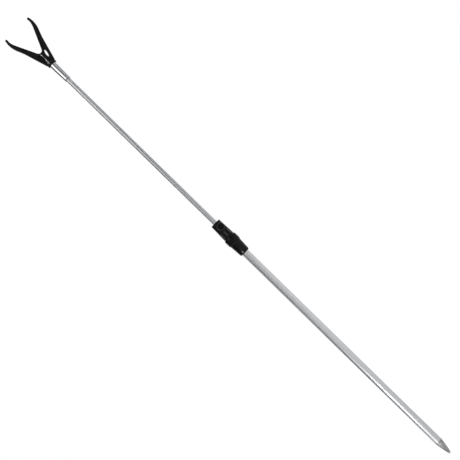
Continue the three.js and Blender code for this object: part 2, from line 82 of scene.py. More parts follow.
class Part(Enum):
    """The CAD nodes that the pieces here stand for or dress."""

    GROUND_SPIKE = "ground_spike"
    OUTER_TUBE = "outer_tube"
    MOUTH_BUSH = "mouth_bush"
    LOCK_BODY = "lock_body"
    COLLET = "collet"
    LOCK_NUT = "lock_nut"
    INNER_TUBE = "inner_tube"
    GUIDE_RING = "guide_ring"
    END_PLUG = "end_plug"
    FERRULE = "ferrule"
    HEAD_STUD = "head_stud"
    ROD_REST = "rod_rest"

    @property
    def foot(self) -> float:
        """Height of the node's lowest point."""
        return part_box(self.value)[0].z

    @property
    def top(self) -> float:
        """Height of the node's highest point."""
        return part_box(self.value)[1].z

    @property
    def radius(self) -> float:
        """Half the node's width along X."""
        low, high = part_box(self.value)
        return (high.x - low.x) / 2

    @property
    def body(self) -> str:
        """The CAD body that the node rides on."""
        bodies = frame["record"]["behaviour"]["bodies"]
        return next(name for name, nodes in bodies.items() if self.value in nodes)

    @property
    def slot(self) -> str:
        """The record's material slot of the node."""
        subparts = frame["record"]["subparts"]
        return next(entry["material_slot"] for entry in subparts if entry["node"] == self.value)


@dataclass(frozen=True)
class Graph:
    """Adds nodes to one node tree and links them."""

    COLOUR_A, COLOUR_B, BLEND = 6, 7, 2  # a Mix node's colour sockets, which share their names

    tree: bpy.types.NodeTree

    def add(self, kind: str, settings: dict | None = None, **values: object) -> bpy.types.Node:
        """Adds one node.

        Args:
            kind: the node's type name, without its ShaderNode prefix.
            settings: properties of the node itself.
            **values: inputs by name, with _ for a space; a socket is linked, anything
                else becomes the input's own value.

        Returns:
            The new node.
        """
        node = self.tree.nodes.new("ShaderNode" + kind)
        for name, value in (settings or {}).items():
            setattr(node, name, value)
        for name, value in values.items():
            self.feed(node.inputs[name.replace("_", " ")], value)
        return node

    def feed(self, socket: bpy.types.NodeSocket, value: object) -> None:
        """Feeds an input.

        Args:
            socket: the input.
            value: a socket, which is linked, or the input's own value.
        """
        if isinstance(value, bpy.types.NodeSocket):
            self.tree.links.new(value, socket)
        else:
            socket.default_value = value

    def maths(self, operation: str, first: object, second: object) -> bpy.types.NodeSocket:
        """Adds a Math node.

        Args:
            operation: the node's operation.
            first: a socket or a number.
            second: a socket or a number.

        Returns:
            The node's output.
        """
        node = self.add("Math", {"operation": operation})
        self.feed(node.inputs[0], first)
        self.feed(node.inputs[1], second)
        return node.outputs[0]

    def between(self, mask: object, low: float, high: float) -> bpy.types.NodeSocket:
        """Spreads a mask of 0 to 1 over a range of values.

        Args:
            mask: the mask's socket.
            low: the value where the mask is 0.
            high: the value where the mask is 1.

        Returns:
            The spread values.
        """
        return self.add("MapRange", Value=mask, To_Min=low, To_Max=high).outputs["Result"]

    def tint(self, mask: object, dark: object, light: Sequence[float]) -> bpy.types.NodeSocket:
        """Blends two colours by a mask.

        Args:
            mask: the mask's socket.
            dark: the colour where the mask is 0: a socket, or red, green and blue.
            light: red, green and blue where the mask is 1.

        Returns:
            The blended colour.
        """
        node = self.add("Mix", {"data_type": "RGBA"}, Factor=mask)
        first = dark if isinstance(dark, bpy.types.NodeSocket) else (*dark, 1.0)
        self.feed(node.inputs[self.COLOUR_A], first)
        self.feed(node.inputs[self.COLOUR_B], (*light, 1.0))
        return node.outputs[self.BLEND]


def new_material(name: str) -> tuple[bpy.types.Material, Graph]:
    """Makes a material that has no nodes yet.

    Args:
        name: the material's name.

    Returns:
        The material and its empty graph.
    """
    material = bpy.data.materials.new(name)
    material.use_nodes = True
    material.node_tree.nodes.clear()
    return material, Graph(material.node_tree)


class Effects:
    """The surface effects that more than one finish uses, each a node group built once."""

    PLACE, SIZE, MASK = "Vector", "Features per metre", "Mask"
    NOISE_SPAN = {"From_Min": 0.32, "From_Max": 0.68}  # what the noise mostly covers
    PATCH_SPAN = {"From_Min": 0.5, "From_Max": 0.66}  # where a patch of scratches fades in
    SCRATCH_WIDTH = 0.03  # as a share of a cell
    PATCH_SHARE = 0.12  # patches to a scratch

    def __init__(self) -> None:
        """Builds the groups."""
        self.grain = self._grain()
        self.scuffs = self._scuffs()

    def _open(self, name: str) -> tuple[Graph, bpy.types.NodeSocket, bpy.types.NodeSocket]:
        """Starts a group that turns coordinates and a size into a mask.

        Args:
            name: the group's name.

        Returns:
            The group's graph, its coordinates and its number of features per metre.
        """
        tree = bpy.data.node_groups.new(name, "ShaderNodeTree")
        tree.interface.new_socket(self.PLACE, in_out="INPUT", socket_type="NodeSocketVector")
        tree.interface.new_socket(self.SIZE, in_out="INPUT", socket_type="NodeSocketFloat")
        tree.interface.new_socket(self.MASK, in_out="OUTPUT", socket_type="NodeSocketFloat")
        given = tree.nodes.new("NodeGroupInput").outputs
        return Graph(tree), given[self.PLACE], given[self.SIZE]

    def _close(self, graph: Graph, mask: bpy.types.NodeSocket) -> bpy.types.NodeTree:
        """Ends a group in its mask.

        Args:
            graph: the group's graph.
            mask: the mask that it puts out.

        Returns:
            The group.
        """
        graph.feed(graph.tree.nodes.new("NodeGroupOutput").inputs[self.MASK], mask)
        return graph.tree

    def _grain(self) -> bpy.types.NodeTree:
        """Fine noise, evened out to fill 0 to 1; drawn out, it makes lines or streaks."""
        graph, place, size = self._open("surface grain")
        fine = graph.add("TexNoise", Vector=place, Scale=size, Detail=4.0, Roughness=0.6)
        mask = graph.add("MapRange", Value=fine.outputs[0], **self.NOISE_SPAN)
        return self._close(graph, mask.outputs["Result"])

    def _scuffs(self) -> bpy.types.NodeTree:
        """Thin scratches in patches, from handling."""
        graph, place, size = self._open("handling scuffs")
        cells = graph.add(
            "TexVoronoi", {"feature": "DISTANCE_TO_EDGE"}, Vector=place, Scale=size, Randomness=1.0
        )
        line = graph.add(
            "MapRange", Value=cells.outputs[0], From_Max=self.SCRATCH_WIDTH, To_Min=1.0, To_Max=0.0
        )
        patch_size = graph.maths("MULTIPLY", size, self.PATCH_SHARE)
        patch = graph.add("TexNoise", Vector=place, Scale=patch_size, Detail=2.0)
        shown = graph.add("MapRange", Value=patch.outputs[0], **self.PATCH_SPAN)
        return self._close(graph, graph.maths("MULTIPLY", line.outputs["Result"], shown.outputs["Result"]))


EFFECTS = Effects()


@dataclass(frozen=True)
class Finish:
    """A finish: its colours, its gloss and the size of its grain."""

    name: str
    dark: tuple[float, float, float]
    light: tuple[float, float, float]
    smoothest: float
    roughest: float
    grain_per_metre: float
    drawn_out: float = 1.0
    relief: float = 0.01 * MM
    metallic: float = 0.0
    specular: float = 0.5
    scuffs_per_metre: float = 60.0
    scuff_gloss: float = 0.0
    # colour of the marked places: painted shade on the ferrule, a painted highlight with some wear on the nut
    wear_and_painted_light: tuple[float, float, float] | None = None

    @cache
    def material(self) -> bpy.types.Material:
        """Builds the finish once and gives it to every piece that has it.

        Returns:
            The finish's material.
        """
        material, graph = new_material(self.name)
        self.wire(graph)
        return material

    def effect(
        self, graph: Graph, group: bpy.types.NodeTree, along: float, size: float
    ) -> bpy.types.NodeSocket:
        """Places one of the shared effects.

        Args:
            graph: the material's graph.
            group: the effect.
            along: scale along the stick; under 1 draws the pattern out lengthwise.
            size: features per metre.

        Returns:
            The effect's mask.
        """
        place = graph.add("TexCoord").outputs["Object"]
        drawn = graph.add("Mapping", Vector=place, Scale=(1.0, 1.0, along))
        node = graph.add("Group", {"node_tree": group}, Vector=drawn.outputs[0])
        graph.feed(node.inputs[Effects.SIZE], size)
        return node.outputs[Effects.MASK]

    def wire(self, graph: Graph) -> None:
        """Wires the grain and the scuffs into a shader.

        Args:
            graph: the material's empty graph.
        """
        grain = self.effect(graph, EFFECTS.grain, self.drawn_out, self.grain_per_metre)
        scuffs = self.effect(graph, EFFECTS.scuffs, self.drawn_out ** 0.5, self.scuffs_per_metre)
        roughness = graph.between(grain, self.smoothest, self.roughest)
        dulled = graph.maths("MULTIPLY", scuffs, self.scuff_gloss)
        bump = graph.add("Bump", Strength=1.0, Distance=self.relief, Height=grain)
        colour = graph.tint(grain, self.dark, self.light)
        # paints the marked places: shade on the ferrule, a highlight with some wear on the nut
        if self.wear_and_painted_light:
            painted_light_mask = graph.add("Attribute", {"attribute_name": WEAR_AND_PAINTED_LIGHT})
            colour = graph.tint(painted_light_mask.outputs["Fac"], colour, self.wear_and_painted_light)
        shader = graph.add(
            "BsdfPrincipled",
            Base_Color=colour,
            Roughness=graph.maths("ADD", roughness, dulled),
            Metallic=self.metallic,
            Specular_IOR_Level=self.specular,
            Normal=bump.outputs[0],
        )
        graph.add("OutputMaterial", Surface=shader.outputs[0])


DRAWN_ALUMINIUM = Finish(
    name="drawn_tube",
    dark=(0.62, 0.63, 0.65),
    light=(0.76, 0.77, 0.79),
    smoothest=0.32,
    roughest=0.36,
    grain_per_metre=2600.0,
    drawn_out=0.003,
    relief=0.0004 * MM,
    metallic=1.0,
    scuff_gloss=0.18,
)
FORGED_ALUMINIUM = Finish(
    name="forged_point",
    dark=(0.15, 0.15, 0.16),
    light=(0.56, 0.56, 0.57),
    smoothest=0.34,
    roughest=0.60,
    grain_per_metre=330.0,
    drawn_out=0.10,
    relief=0.10 * MM,
    metallic=0.85,
    scuff_gloss=0.1,
)
CHROME_PLATE = Finish(
    name="bright_plating",
    dark=(0.80, 0.81, 0.83),
    light=(0.88, 0.89, 0.91),
    smoothest=0.05,
    roughest=0.10,
    grain_per_metre=300.0,
    relief=0.002 * MM,
    metallic=1.0,
    scuff_gloss=0.2,
    # painted shade for the ferrule's groove
    wear_and_painted_light=(0.07, 0.07, 0.075),
)
BLACK_PLASTIC = Finish(
    name="satin_black_moulding",
    dark=(0.0016, 0.0016, 0.0019),
    light=(0.0030, 0.0030, 0.0034),
    smoothest=0.20,
    roughest=0.30,
    grain_per_metre=1500.0,
    relief=0.003 * MM,
    specular=0.20,
    scuff_gloss=0.15,
    # painted highlight on the nut's ridges and the roundel's rim, partly rubbing wear
    wear_and_painted_light=(0.045, 0.045, 0.047),
)
TURNED_STEEL = Finish(
    name="turned_stud",
    dark=(0.42, 0.43, 0.45),
    light=(0.58, 0.59, 0.61),
    smoothest=0.24,
    roughest=0.38,
    grain_per_metre=900.0,
    drawn_out=9.0,
    relief=0.006 * MM,
    metallic=1.0,
    scuff_gloss=0.1,
)
NATURAL_NYLON = Finish(
    name="natural_nylon_moulding",
    dark=(0.66, 0.64, 0.57),
    light=(0.74, 0.72, 0.65),
    smoothest=0.46,
    roughest=0.60,
    grain_per_metre=1100.0,
    relief=0.012 * MM,
)


class Outline:
    """The outline of a turned piece, as radii and heights, walked from point to point."""

    def __init__(self, radius: float, height: float) -> None:
        """Starts the outline.

        Args:
            radius: the first point's radius.
            height: the first point's height.
        """
        self.points: list[Point] = [(radius, height)]

    def line(self, radius: float, height: float, steps: int = 1) -> "Outline":
        """Goes straight to a point.

        Args:
            radius: the point's radius.
            height: the point's height.
            steps: how many stretches the line is cut into.

        Returns:
            The outline itself.
        """
        start = Vector(self.points[-1])
        end = Vector((radius, height))
        self.points += [tuple(start.lerp(end, step / steps)) for step in range(1, steps + 1)]
        return self

    def curve(self, pull: Point, radius: float, height: float, steps: int) -> "Outline":
        """Goes to a point on a curve that a third point pulls.

        Args:
            pull: the radius and height that pull the curve.
            radius: the end point's radius.
            height: the end point's height.
            steps: how many stretches the curve has.

        Returns:
            The outline itself.
        """
        start, middle, end = Vector(self.points[-1]), Vector(pull), Vector((radius, height))
        for step in range(1, steps + 1):
            share = step / steps
            self.points.append(tuple(start.lerp(middle, share).lerp(middle.lerp(end, share), share)))
        return self

    def turn(self, sides: int) -> bmesh.types.BMesh:
        """Turns the outline about the stick's axis.

        Args:
            sides: how many sides the round piece gets.

        Returns:
            The turned surface.
        """
        surface = bmesh.new()
        verts = [surface.verts.new((radius, 0.0, height)) for radius, height in self.points]
        edges = [surface.edges.new(pair) for pair in zip(verts, verts[1:])]
        if self.points[0][0] > 0.0:
            edges.append(surface.edges.new((verts[-1], verts[0])))
        bmesh.ops.spin(
            surface,
            geom=verts + edges,
            cent=ORIGIN,
            axis=AXIS,
            dvec=ORIGIN,
            angle=math.tau,
            steps=sides,
            use_merge=True,
        )
        bmesh.ops.remove_doubles(surface, verts=surface.verts, dist=WELD)
        bmesh.ops.recalc_face_normals(surface, faces=surface.faces)
        return surface


@dataclass(frozen=True)
class Thread:
    """A right-hand screw thread, cut on a core."""

    crest_radius: float
    depth: float
    pitch: float
    crest_share: float = 0.16
    sides: int = 56

    def cut(self, foot: float, top: float) -> bmesh.types.BMesh:
        """Makes the threaded length of a screw, closed at both ends.

        Args:
            foot: height of its lower end.
            top: height of its upper end.

        Returns:
            The threaded surface.
        """
        root = self.crest_radius - self.depth
        flank = (1.0 - 2.0 * self.crest_share) / 2.0
        rises = (0.0, flank, flank + self.crest_share, 1.0 - self.crest_share, 1.0)
        radii = (root, self.crest_radius, self.crest_radius, root, root)
        surface = bmesh.new()
        start = foot - self.pitch
        tooth = [surface.verts.new((r, 0.0, start + rise * self.pitch)) for r, rise in zip(radii, rises)]
        edges = [surface.edges.new(pair) for pair in zip(tooth, tooth[1:])]
        turns = math.ceil((top - foot) / self.pitch) + 1
        bmesh.ops.spin(
            surface,
            geom=tooth + edges,
            cent=ORIGIN,
            axis=AXIS,
            dvec=AXIS * (self.pitch / self.sides),
            angle=math.tau * turns,
            steps=self.sides * turns,
            use_merge=False,
        )
        bmesh.ops.remove_doubles(surface, verts=surface.verts, dist=WELD)
        for height, side in ((foot, -1.0), (top, 1.0)):
            everything = surface.verts[:] + surface.edges[:] + surface.faces[:]
            cut = bmesh.ops.bisect_plane(
                surface, geom=everything, plane_co=AXIS * height, plane_no=AXIS * side, clear_outer=True
            )
            rim = [item for item in cut["geom_cut"] if isinstance(item, bmesh.types.BMEdge)]
            bmesh.ops.holes_fill(surface, edges=rim, sides=0)
        bmesh.ops.recalc_face_normals(surface, faces=surface.faces)
        return surface


def joined(surfaces: Sequence[bmesh.types.BMesh]) -> bmesh.types.BMesh:
    """Puts several surfaces into one, for a piece that is one moulding.

    Args:
        surfaces: the surfaces, which are used up.

    Returns:
        The one surface.
    """
    whole = bmesh.new()
    for surface in surfaces:
        carrier = bpy.data.meshes.new("carrier")
        surface.to_mesh(carrier)
        surface.free()
        whole.from_mesh(carrier)
        bpy.data.meshes.remove(carrier)
    return whole


def ease_edges(surface: bmesh.types.BMesh, width: float) -> None:
    """Bevels the sharp edges of a surface, with two faces to a bevel.

    Args:
        surface: the surface.
        width: the bevel's width.
    """
    limit = math.radians(SHARP)
    sharp = [e for e in surface.edges if e.is_manifold and e.calc_face_angle(0.0) > limit]
    bmesh.ops.bevel(
        surface,
        geom=sharp,
        offset=width,
        offset_type="OFFSET",
        segments=2,
        profile=0.5,
        affect="EDGES",
        material=-1,
        clamp_overlap=True,
    )


def placed(surface: bmesh.types.BMesh, name: str, material: bpy.types.Material) -> bpy.types.Object:
    """Puts a surface into the scene.

    Args:
        surface: the surface, which is used up.
        name: the object's name.
        material: the object's material.

    Returns:
        The object.
    """
    mesh = bpy.data.meshes.new(name)
    surface.to_mesh(mesh)
    surface.free()
    mesh.materials.append(material)
    shown = bpy.data.objects.new(name, mesh)
    bpy.context.scene.collection.objects.link(shown)
    return shown


def fitted(
    surface: bmesh.types.BMesh, name: str, part: Part, finish: Finish, crease: float = CREASE
) -> bpy.types.Object:
    """Makes a piece that goes with a CAD node, smooth but for its sharp edges.

    Args:
        surface: the piece's surface, which is used up.
        name: the piece's name.
        part: the CAD node that it moves with.
        finish: the piece's finish.
        crease: the angle, in degrees, past which an edge stays sharp.

    Returns:
        The piece.
    """
    for face in surface.faces:
        face.smooth = True
    for edge in surface.edges:
        edge.smooth = edge.calc_face_angle(0.0) < math.radians(crease)
    shown = placed(surface, name, finish.material())
    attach(shown, part.body)
    log.info("%s: %d faces, %s", name, len(shown.data.polygons), finish.name)
    return shown


def piece(
    surface: bmesh.types.BMesh, part: Part, finish: Finish, crease: float = CREASE
) -> bpy.types.Object:
    """Makes the piece that stands for a CAD node.

    Args:
        surface: the piece's surface, which is used up.
        part: the CAD node.
        finish: the piece's finish.
        crease: the angle, in degrees, past which an edge stays sharp.

    Returns:
        The piece.
    """
    shown = fitted(surface, part.value + PIECE, part, finish, crease)
    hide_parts(part.value)
    return shown


def mark(shown: bpy.types.Object, share: Callable[[Vector], float]) -> None:
    """Writes onto a piece where its finish paints its marked colour: shade in the ferrule's groove, a
    highlight with some wear on the nut.

    Args:
        shown: the piece.
        share: gives how much of that marked colour a point gets, from 0 to 1.
    """
    wear_and_painted_light = shown.data.attributes.new(WEAR_AND_PAINTED_LIGHT, "FLOAT", "POINT")
    wear_and_painted_light.data.foreach_set("value", [share(vert.co) for vert in shown.data.vertices])


def dress(part: Part, finish: Finish) -> None:
    """Gives a CAD node that is shown as it is a finish.

    Args:
        part: the CAD node.
        finish: its finish.
    """
    mesh = frame["nodes"][part.value].data
    mesh.materials.clear()
    mesh.materials.append(finish.material())
    log.info("%s keeps its solid, %s", part.value, finish.name)


@dataclass
class LowerStick:
    """The lower tube and the forged point in its foot."""

    sides: int = 96
    tube_radius: float = 8.0 * MM
    wall: float = 1.0 * MM
    swollen_length: float = 58.0 * MM
    swell_run: float = 6.0 * MM
    edge: float = 0.3 * MM
    nose_fullness: float = 0.56
    tip_radius: float = 0.6 * MM
    nose_rings: int = 44
    ring_crowding: float = 1.6
    tube_steps: int = 24
    swell_steps: int = 4
    faces: int = 4
    face_depth: float = 0.8 * MM
    dent_depth: float = 0.22 * MM
    dents_per_metre: float = 260.0
    shank_chamfer: float = 1.5 * MM
    press_play: float = 0.1 * MM

    def tube(self) -> None:
        """Turns the tube, swollen where the point's shank was pressed in."""
        part = Part.OUTER_TUBE
        foot, top = part.foot, part.top
        swollen = part.radius
        run_foot, run_top = foot + self.swollen_length, foot + self.swollen_length + self.swell_run
        middle, halfway = (run_foot + run_top) / 2, (swollen + self.tube_radius) / 2
        outline = (
            Outline(swollen - self.edge / 2, foot)
            .line(swollen, foot + self.edge / 2)
            .line(swollen, run_foot)
            .curve((swollen, middle), halfway, middle, self.swell_steps)
            .curve((self.tube_radius, middle), self.tube_radius, run_top, self.swell_steps)
            .line(self.tube_radius, top - self.edge, self.tube_steps)
            .line(self.tube_radius - self.edge, top)
            .line(self.tube_radius - self.wall, top)
            .line(self.tube_radius - self.wall, run_top)
            .line(swollen - self.wall, run_foot)
            .line(swollen - self.wall, foot)
        )
        piece(outline.turn(self.sides), part, DRAWN_ALUMINIUM)

    def point(self) -> None:
        """Forges the point: a full nose with four pressed faces, dented by the hammer."""
        part = Part.GROUND_SPIKE
        base, foot = part.radius, part.foot
        nose_top = Part.OUTER_TUBE.foot
        shank = base - self.wall - self.press_play
        nose = nose_top - foot
        outline = Outline(0.0, foot)
        for ring in range(self.nose_rings + 1):
            rise = (ring / self.nose_rings) ** self.ring_crowding
            spread = (base - self.tip_radius) * rise ** self.nose_fullness
            outline.line(self.tip_radius + spread, foot + nose * rise)
        outline.line(shank, nose_top)
        outline.line(shank, part.top - self.shank_chamfer)
        outline.line(shank - self.shank_chamfer, part.top)
        outline.line(0.0, part.top)
        surface = outline.turn(self.sides)
        for vert in surface.verts:
            rise = (vert.co.z - foot) / nose
            if 0.0 < rise < 1.0:
                self._hammer(vert, rise)
        piece(surface, part, FORGED_ALUMINIUM)

    def _hammer(self, vert: bmesh.types.BMVert, rise: float) -> None:
        """Presses one point of the nose in, for its face and its dents.

        Args:
            vert: the point of the surface.
            rise: its height as a share of the nose.
        """
        angle = math.atan2(vert.co.y, vert.co.x)
        fade = math.sin(math.pi * rise)
        pressed = self.face_depth * fade * (1.0 - math.cos(self.faces * angle)) / 2.0
        rough = abs(noise.noise(vert.co * self.dents_per_metre)) * self.dent_depth * fade
        out = Vector((vert.co.x, vert.co.y, 0.0))
        vert.co -= out.normalized() * min(pressed + rough, out.length / 2.0)

    def build(self) -> None:
        """Builds the tube and the point."""
        self.tube()
        self.point()


@dataclass
class TwistLock:
    """The black lock: a fixed body, a nut that turns, and the clamp and bush inside."""

    sides: int = 128
    sleeve_radius: float = 12.5 * MM
    sleeve_length: float = 25.5 * MM
    foot_radius: float = 11.3 * MM
    mouth_radius: float = 8.4 * MM
    end_rounding: float = 5.2 * MM
    bulge_length: float = 19.0 * MM
    bulge_ramp: float = 5.5 * MM
    seam_radius: float = 12.35 * MM
    tube_bore: float = 8.1 * MM
    tube_lap: float = 34.4 * MM
    seat_rise: float = 3.5 * MM
    seat_foot_radius: float = 6.6 * MM
    seat_top_radius: float = 8.6 * MM
    edge: float = 0.25 * MM
    neck: Thread = field(default_factory=lambda: Thread(9.8 * MM, 0.55 * MM, 2.0 * MM))
    nut_foot: float = field(default_factory=lambda: Part.LOCK_NUT.foot)
    nut_top: float = field(default_factory=lambda: Part.LOCK_NUT.top)
    nut_foot_radius: float = 12.1 * MM
    nut_top_radius: float = 10.8 * MM
    nut_rounding: float = 1.0 * MM
    nut_chamfer: float = 0.4 * MM
    nut_levels: int = 96
    nut_sides: int = 208
    thread_play: float = 0.2 * MM
    lip_reach: float = 0.2 * MM
    lip_thickness: float = 0.8 * MM
    lip_play: float = 0.2 * MM
    chamber_play: float = 0.1 * MM
    mouth_play: float = 0.4 * MM
    roof: float = 8.4 * MM
    flute_count: int = 8
    flute_radius: float = 8.0 * MM
    flute_depth: float = 1.0 * MM
    flute_foot: float = 1.8 * MM
    flute_length: float = 14.5 * MM
    flute_run_out: float = 1.4 * MM
    roundel_radius: float = 8.3 * MM
    roundel_rim: float = 1.5 * MM
    roundel_corner: float = 0.6 * MM
    roundel_relief: float = 0.5 * MM
    roundel_dish: float = 0.45 * MM
    roundel_below: float = 12.6 * MM
    roundel_bearing: float = math.radians(20.0)
    roundel_sides: int = 96
    # depth of the ridge band that gets the painted highlight
    rub_and_highlight_depth: float = 0.08 * MM
    end_steps: int = 12
    sleeve_steps: int = 4
    ramp_steps: int = 6
    bulge_steps: int = 3
    rounding_steps: int = 6
    rim_steps: int = 4

    def body(self) -> None:
        """Moulds the body: rounded sleeve, bulge, and a threaded neck with the clamp's seat."""
        part = Part.LOCK_BODY
        foot, top, bulge = part.foot, part.top, part.radius
        seam = foot + self.sleeve_length + self.bulge_length
        ramp_foot = foot + self.sleeve_length
        ramp_top = ramp_foot + self.bulge_ramp
        fall_foot = seam - self.bulge_ramp
        halfway, middle = (self.sleeve_radius + bulge) / 2, ramp_foot + self.bulge_ramp / 2
        pull = self.bulge_ramp / 4
        core = self.neck.crest_radius - self.neck.depth
        ledge = foot + self.tube_lap
        outline = (
            Outline(self.tube_bore, foot)
            .line(self.mouth_radius, foot)
            .curve((self.foot_radius, foot), self.foot_radius, foot + self.end_rounding, self.end_steps)
            .line(self.sleeve_radius, ramp_foot, self.sleeve_steps)
            .curve((self.sleeve_radius, ramp_foot + pull), halfway, middle, self.ramp_steps)
            .curve((bulge, ramp_top - pull), bulge, ramp_top, self.ramp_steps)
            .line(bulge, fall_foot, self.bulge_steps)
            .curve((bulge, seam - self.bulge_ramp / 3), self.seam_radius, seam, self.end_steps)
            .line(core, seam)
            .line(core, top)
            .line(self.seat_top_radius, top)
            .line(self.seat_foot_radius, ledge + self.seat_rise)
            .line(self.seat_foot_radius, ledge)
            .line(self.tube_bore, ledge)
        )
        moulding = outline.turn(self.sides)
        ease_edges(moulding, self.edge)
        piece(joined([moulding, self._neck_thread(seam, top)]), part, BLACK_PLASTIC)

    def _neck_thread(self, foot: float, top: float) -> bmesh.types.BMesh:
        """Cuts the neck's thread and opens its ends, so that the seat inside it stays clear.

        Args:
            foot: the neck's lower end.
            top: the neck's upper end.

        Returns:
            The thread, whose open ends lie on the neck's own faces.
        """
        thread = self.neck.cut(foot, top)
        ends = [face for face in thread.faces if abs(face.normal.z) > LEVEL]
        bmesh.ops.delete(thread, geom=ends, context="FACES_ONLY")
        return thread

    def nut(self) -> None:
        """Moulds the nut: a tapered sleeve with flutes for the fingers and a raised roundel."""
        foot, top = self.nut_foot, self.nut_top
        collet = Part.COLLET
        thread = self.neck.crest_radius + self.thread_play
        lip_foot = Part.LOCK_BODY.top + self.lip_play
        lip_top = lip_foot + self.lip_thickness
        lip = collet.radius - self.lip_reach
        chamber, chamber_top = collet.radius + self.chamber_play, top - self.roof
        mouth = Part.INNER_TUBE.radius + self.mouth_play
        outline = (
            Outline(thread, foot)
            .line(self.nut_foot_radius - self.nut_chamfer, foot)
            .line(self.nut_foot_radius, foot + self.nut_chamfer)
            .line(self.nut_top_radius, top - self.nut_rounding, self.nut_levels)
            .curve(
                (self.nut_top_radius, top), self.nut_top_radius - self.nut_rounding, top, self.rounding_steps
            )
            .line(mouth, top)
            .line(mouth, chamber_top)
            .line(chamber, chamber_top)
            .line(chamber, lip_top)
            .line(lip, lip_top)
            .line(lip, lip_foot)
            .line(thread, lip_foot)
        )
        moulding = outline.turn(self.nut_sides)
        for vert in moulding.verts:
            if math.hypot(vert.co.x, vert.co.y) > thread + self.nut_chamfer:
                self._shape(vert)
        whole = joined([moulding, self._roundel_rim()])
        shown = piece(whole, Part.LOCK_NUT, BLACK_PLASTIC, crease=SHARP)
        # lighter on the ridges and the roundel's rim: a painted highlight, partly rubbing wear
        mark(shown, self._rub_and_painted_highlight)

    def _rub_and_painted_highlight(self, place: Vector) -> float:
        """How much painted highlight, partly rubbing wear, a point of the nut gets.

        Args:
            place: the point.

        Returns:
            0 where the nut is as moulded, to 1 on its ridges and on the roundel's rim.
        """
        skin = self._skin_radius(place.z)
        radius = math.hypot(place.x, place.y)
        if radius > skin + self.roundel_relief / 2:
            return 1.0
        up = place.z - self.nut_foot - self.flute_foot
        run_out = self.flute_run_out
        if radius < skin - self.rub_and_highlight_depth or not run_out < up < self.flute_length - run_out:
            return 0.0
        return 1.0 - (skin - radius) / self.rub_and_highlight_depth

    def _skin_radius(self, height: float) -> float:
        """Radius of the nut's plain flank at a height.

        Args:
            height: the height.

        Returns:
            The radius.
        """
        rise = (height - self.nut_foot) / (self.nut_top - self.nut_foot - self.nut_rounding)
        return self.nut_foot_radius + (self.nut_top_radius - self.nut_foot_radius) * min(max(rise, 0.0), 1.0)

    def _shape(self, vert: bmesh.types.BMVert) -> None:
        """Moves one point of the nut's flank in, for a flute or for the roundel's dish.

        Args:
            vert: the point.
        """
        radius = math.hypot(vert.co.x, vert.co.y)
        depth = self._flute_cut(vert.co, radius) + self._dish_cut(vert.co)
        if depth > 0.0:
            scale = (radius - depth) / radius
            vert.co.x *= scale
            vert.co.y *= scale

    def _flute_cut(self, place: Vector, radius: float) -> float:
        """How deep the flute at a point is.

        Args:
            place: the point.
            radius: its distance from the axis.

        Returns:
            The depth, 0 between the flutes.
        """
        up = place.z - self.nut_foot - self.flute_foot
        if not 0.0 < up < self.flute_length:
            return 0.0
        run = min(up, self.flute_length - up, self.flute_run_out)
        tool = self.flute_radius - self.flute_run_out + run
        centre = radius + self.flute_radius - self.flute_depth
        pitch = math.tau / self.flute_count
        bearing = (math.atan2(place.y, place.x) + math.pi / 2) % pitch - pitch / 2
        reach = tool ** 2 - (centre * math.sin(bearing)) ** 2
        if reach <= 0.0:
            return 0.0
        return max(0.0, radius - (centre * math.cos(bearing) - math.sqrt(reach)))

    def _dish_cut(self, place: Vector) -> float:
        """How deep the roundel's dish is at a point.

        Args:
            place: the point.

        Returns:
            The depth, 0 outside the roundel, which lies on the nut's front.
        """
        cos, sin = math.cos(self.roundel_bearing), math.sin(self.roundel_bearing)
        across, front = place.x * cos + place.y * sin, place.x * sin - place.y * cos
        from_middle = math.hypot(across, place.z - (self.nut_top - self.roundel_below))
        middle_of_rim = self.roundel_radius - self.roundel_rim / 2
        return self.roundel_dish if front >= 0.0 and from_middle < middle_of_rim else 0.0

    def _roundel_rim(self) -> bmesh.types.BMesh:
        """Lays the roundel's rim, a rounded ring, on the nut's flank.

        Returns:
            The ring.
        """
        outer, inner = self.roundel_radius, self.roundel_radius - self.roundel_rim
        crown, root = self.roundel_relief, -self.roundel_dish - self.roundel_relief
        corner = self.roundel_corner
        ring = (
            Outline(inner, root)
            .line(outer, root)
            .line(outer, crown - corner)
            .curve((outer, crown), outer - corner, crown, self.rim_steps)
            .line(inner + corner, crown)
            .curve((inner, crown), inner, crown - corner, self.rim_steps)
            .turn(self.roundel_sides)
        )
        turn = Matrix.Rotation(self.roundel_bearing, 3, "Z")
        for vert in ring.verts:
            across, up, out = vert.co.x, vert.co.y, vert.co.z
            height = self.nut_top - self.roundel_below + up
            skin = self._skin_radius(height)
            angle = math.asin(max(-1.0, min(1.0, across / skin)))
            vert.co = turn @ Vector(((skin + out) * math.sin(angle), -(skin + out) * math.cos(angle), height))
        bmesh.ops.recalc_face_normals(ring, faces=ring.faces)
        return ring

    def build(self) -> None:
        """Builds the lock from its body outwards."""
        self.body()
        self.nut()
        dress(Part.COLLET, NATURAL_NYLON)
        dress(Part.MOUTH_BUSH, NATURAL_NYLON)


